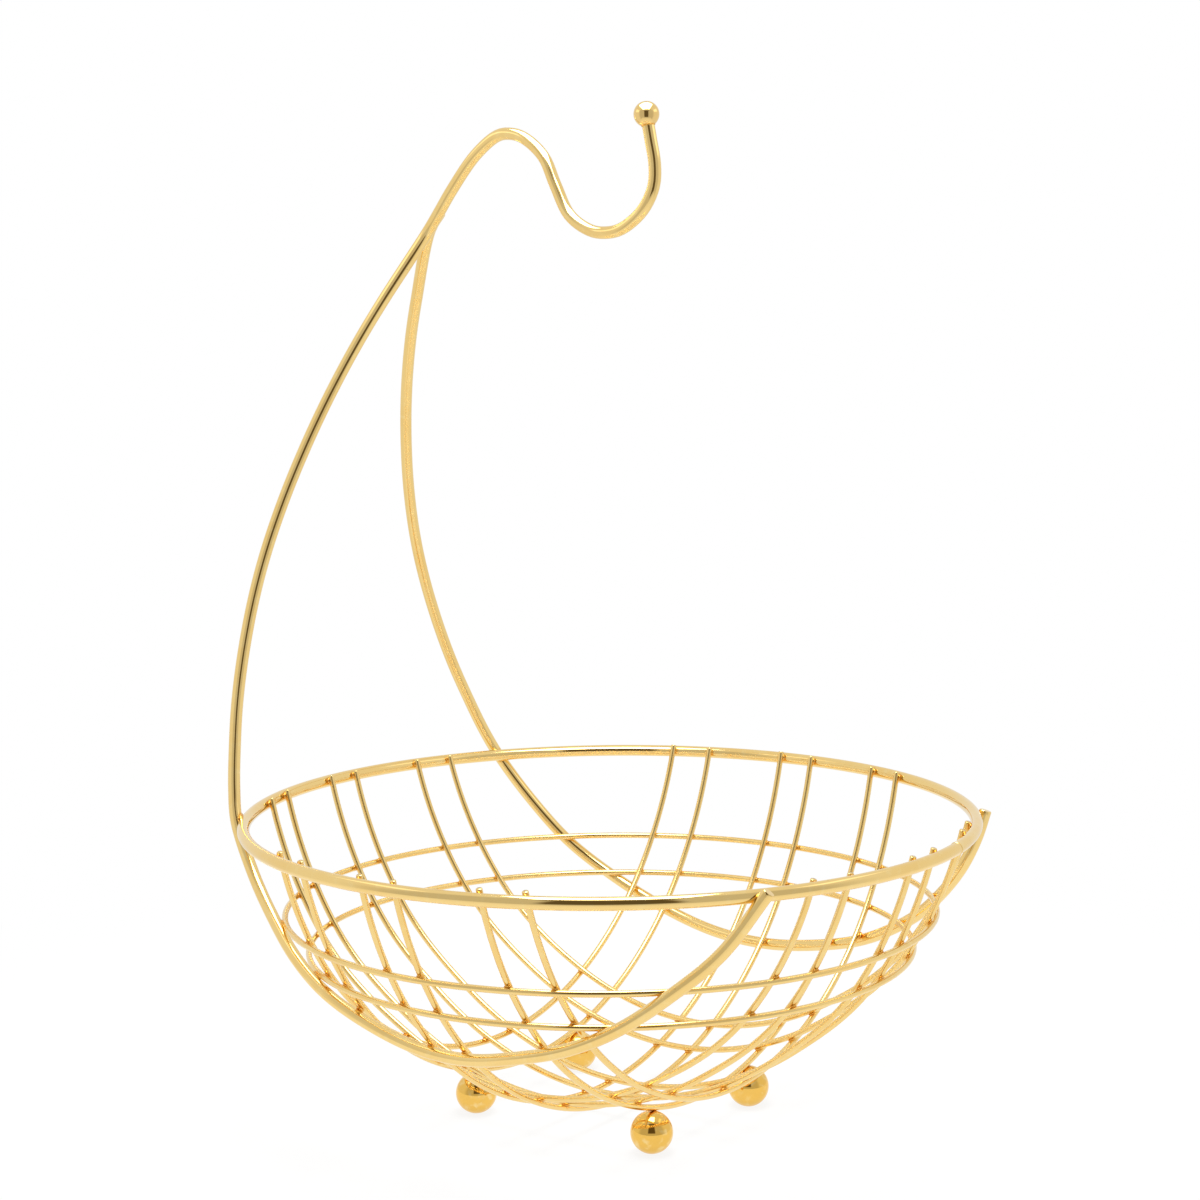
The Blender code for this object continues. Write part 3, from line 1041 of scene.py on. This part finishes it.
def junction_weld(wires, material):
    """The run of weld that fills the crease between the two arms where they meet."""
    hanger, branch = wires["hanger_wire"], wires["hanger_branch"]
    points = []
    for here in branch.line[::-1]:
        nearest = int(np.argmin(np.linalg.norm(hanger.line - here, axis=1)))
        there = refined(hanger, nearest, here)
        if np.linalg.norm(there - here) > CREASE_WIRES * HEAVY_WIRE:
            break
        points.append((here + there) / 2)
    run = Wire("junction_weld", points, HEAVY_RADIUS * CREASE_WELD_SHARE)
    return wire_piece(run, JUNCTION_WELD_SIDES, material,
                      lambda verts: np.zeros(len(verts)), CREASE_END)


def rim_seam(rim, material):
    """The thin raised ring where the two ends of the rim's wire are butt welded."""
    turns = np.arctan2(rim.line[:, 1], rim.line[:, 0])
    index = int(np.argmin(np.abs(turns - SEAM_TURN)))
    verts, faces = ring_mesh(HEAVY_RADIUS + SEAM_SWELL - SEAM_WIDTH, SEAM_WIDTH, *RING_FINENESS)
    verts = verts @ turned_to(rim.way[index]).T + rim.line[index]
    return mesh_object("rim_seam", verts, faces, material)


def basket():
    wires = make_wires()
    kinds = wire_welds(wires)
    kinds["foot_welds"] = foot_welds()
    heat = heat_of([weld for welds in kinds.values() for weld in welds])
    finish = materials()
    for node, wire in wires.items():
        if wire.radius == HEAVY_RADIUS:
            piece = wire_piece(wire, HEAVY_SIDES, finish["heavy"], heat, CUT_END)
            put(piece, "gold_heavy_wire", node)
        else:
            piece = wire_piece(wire, FINE_SIDES, finish["fine"], heat, CROPPED_END)
            put(piece, "gold_fine_wire", node)
    chance = random.Random(BEAD_SEED)
    for name, welds in kinds.items():
        put(beads_piece(name, welds, finish["weld"], chance), "gold_fine_wire")
    put(junction_weld(wires, finish["weld"]), "gold_heavy_wire")
    put(rim_seam(wires["rim_hoop"], finish["fine"]), "gold_heavy_wire")
    foot_balls(finish["foot"], heat)
    hook_ball(wires["hanger_wire"], finish)


# The white studio

def seen_from_camera(across, away, height):
    """A place by how far it is to the right of the camera's line and away past the basket."""
    return Matrix.Rotation(VIEW_TURN, 4, "Z") @ Vector((across, away, height))


def plain_nodes(holder):
    """The emptied node tree of a material or a world."""
    holder.use_nodes = True
    holder.node_tree.nodes.clear()
    return holder.node_tree


def floor_paint():
    """White paint that keeps the basket's soft shadow and fades to plain white."""
    material = bpy.data.materials.new("white_floor")
    tree = plain_nodes(material)
    path = add(tree, "ShaderNodeLightPath")
    mirrored = maths(tree, "MAXIMUM", path.outputs["Is Glossy Ray"],
                     path.outputs["Is Transmission Ray"])
    place = add(tree, "ShaderNodeTexCoord").outputs["Object"]
    away = add(tree, "ShaderNodeVectorMath", {0: place}, operation="LENGTH").outputs["Value"]
    far = ramp(tree, away, *SHADOW_RING)
    seen_glow = maths(tree, "MULTIPLY", path.outputs["Is Camera Ray"],
                      between(tree, far, SEEN_GLOW_SHARE, 1.0))
    mirrored_glow = maths(tree, "MULTIPLY", mirrored,
                          between(tree, far, MIRRORED_GLOW_SHARE, 1.0))
    glow_share = maths(tree, "ADD", seen_glow, mirrored_glow)
    dimming = maths(tree, "MULTIPLY", mirrored, ramp(tree, away, *DIM_RING))
    level = maths(tree, "SUBTRACT", between(tree, far, NEAR_LEVEL, 1.0),
                  maths(tree, "MULTIPLY", dimming, MIRRORED_DIMMING))
    paint = add(tree, "ShaderNodeBsdfDiffuse", {"Color": (*FLOOR_PAINT, 1.0)})
    glow = add(tree, "ShaderNodeEmission", {"Color": (*WHITE, 1.0), "Strength": level})
    mix = add(tree, "ShaderNodeMixShader",
              {0: glow_share, 1: paint.outputs[0], 2: glow.outputs[0]})
    add(tree, "ShaderNodeOutputMaterial", {"Surface": mix.outputs[0]})
    return material


def floor():
    half = FLOOR_HALF_WIDTH
    verts = [(-half, -half, 0), (half, -half, 0), (half, half, 0), (-half, half, 0)]
    piece = mesh_object("studio_floor", verts, [(0, 1, 2, 3)], floor_paint())
    piece.location.z = -FLOOR_DROP


def studio_world():
    """Plain white behind the basket, which only the tent hides from its metal."""
    world = bpy.data.worlds.new("white_studio")
    bpy.context.scene.world = world
    tree = plain_nodes(world)
    path = add(tree, "ShaderNodeLightPath")
    seen = maths(tree, "MAXIMUM", path.outputs["Is Camera Ray"], path.outputs["Is Glossy Ray"])
    seen = maths(tree, "MAXIMUM", seen, path.outputs["Is Transmission Ray"])
    level = between(tree, seen, UNSEEN_LEVEL, 1.0)
    back = add(tree, "ShaderNodeBackground", {"Color": (*WHITE, 1.0), "Strength": level})
    add(tree, "ShaderNodeOutputWorld", {"Surface": back.outputs[0]})


def tent_cloth():
    """White cloth that shines as brightly as its light_level attribute says."""
    material = bpy.data.materials.new("lit_tent_cloth")
    tree = plain_nodes(material)
    level = add(tree, "ShaderNodeAttribute", attribute_name="light_level").outputs["Fac"]
    colour = colour_mix(tree, ramp(tree, level, *TINTED_RANGE), DARK_TINT, WHITE)
    glow = add(tree, "ShaderNodeEmission", {"Color": colour, "Strength": level})
    add(tree, "ShaderNodeOutputMaterial", {"Surface": glow.outputs[0]})
    return material


def tent_sheet(name, cloth, rows):
    """A sheet of the tent from rows of places and their light levels."""
    width = len(rows[0])
    verts = [seen_from_camera(*place) for row in rows for place, _ in row]
    levels = [level for row in rows for _, level in row]
    faces = []
    for row in range(len(rows) - 1):
        for corner in range(row * width, (row + 1) * width - 1):
            faces.append((corner, corner + 1, corner + width + 1, corner + width))
    piece = mesh_object(name, verts, faces, cloth, (("light_level", "FLOAT", levels, "value"),))
    piece.visible_camera = False


def soft_share(depth):
    """How far a place lies inside a patch of light, from 0 to 1 across its soft edge."""
    return ease(depth / SOFT_EDGE + 0.5)


def tent_level(across, away, height):
    """The light level of the tent's cloth at a place."""
    dimming = ease((away - DIMMING_START) / (DIMMING_END - DIMMING_START))
    level = BACK_LEVEL + (FRONT_LEVEL - BACK_LEVEL) * dimming
    strip = (soft_share(abs(across) - TENT_HALF_WIDTH + SOFT_EDGE)
             * soft_share(STRIP_HALF_LENGTH - abs(away))
             * soft_share(height - TENT_HEIGHT + STRIP_HEIGHT))
    level += (STRIP_LEVEL - level) * strip
    opening = (soft_share(OPENING_HALF_WIDTH - abs(across))
               * soft_share(OPENING_IN_ROOF - TENT_REACH - away)
               * soft_share(height - OPENING_FOOT))
    return level + (OPENING_LEVEL - level) * opening


def steps(start, end):
    """Even places from start to end, about one step of the tent apart."""
    return np.linspace(start, end, round(abs(end - start) / TENT_STEP) + 1)


def lit_row(places):
    return [(place, tent_level(*place)) for place in places]


def tent():
    """The lit white tent round the basket, with the dark opening that the camera is in."""
    cloth = tent_cloth()
    heights = steps(0.0, TENT_HEIGHT)
    for name, side in (("tent_left", -TENT_HALF_WIDTH), ("tent_right", TENT_HALF_WIDTH)):
        plan = [(across, -TENT_REACH) for across in steps(0.0, side)]
        plan += [(side, away) for away in steps(-TENT_REACH, TENT_REACH)[1:]]
        plan += [(across, TENT_REACH) for across in steps(side, 0.0)[1:]]
        tent_sheet(name, cloth, [
            lit_row([(across, away, height) for height in heights]) for across, away in plan])
    tent_sheet("tent_roof", cloth, [
        lit_row([(across, away, TENT_HEIGHT)
                 for across in steps(-TENT_HALF_WIDTH, TENT_HALF_WIDTH)])
        for away in steps(-TENT_REACH, TENT_REACH)])


def softbox():
    """The lamp just below the tent's roof. Its face shines down at the level given."""
    data = bpy.data.lights.new("overhead_softbox", "AREA")
    data.shape = "RECTANGLE"
    data.size = LAMP_WIDTH
    data.size_y = LAMP_LENGTH
    data.energy = LAMP_LEVEL * math.pi * LAMP_WIDTH * LAMP_LENGTH
    lamp = bpy.data.objects.new("overhead_softbox", data)
    bpy.context.collection.objects.link(lamp)
    lamp.location = seen_from_camera(0.0, LAMP_AWAY, LAMP_HEIGHT)
    lamp.rotation_euler.z = VIEW_TURN
    lamp.visible_camera = False


def camera():
    data = bpy.data.cameras.new("photo_camera")
    data.sensor_width = SENSOR_MM
    data.lens = LENS_MM
    piece = bpy.data.objects.new("photo_camera", data)
    bpy.context.collection.objects.link(piece)
    stand = seen_from_camera(0.0, -CAMERA_DISTANCE, CAMERA_HEIGHT)
    turn = (Matrix.Rotation(VIEW_TURN - CAMERA_YAW, 4, "Z")
            @ Matrix.Rotation(math.pi / 2 - CAMERA_PITCH, 4, "X")
            @ Matrix.Rotation(CAMERA_ROLL, 4, "Z"))
    piece.matrix_world = Matrix.Translation(stand) @ turn
    bpy.context.scene.camera = piece


camera()
basket()
floor()
studio_world()
tent()
softbox()
bpy.context.scene.view_settings.view_transform = "Standard"
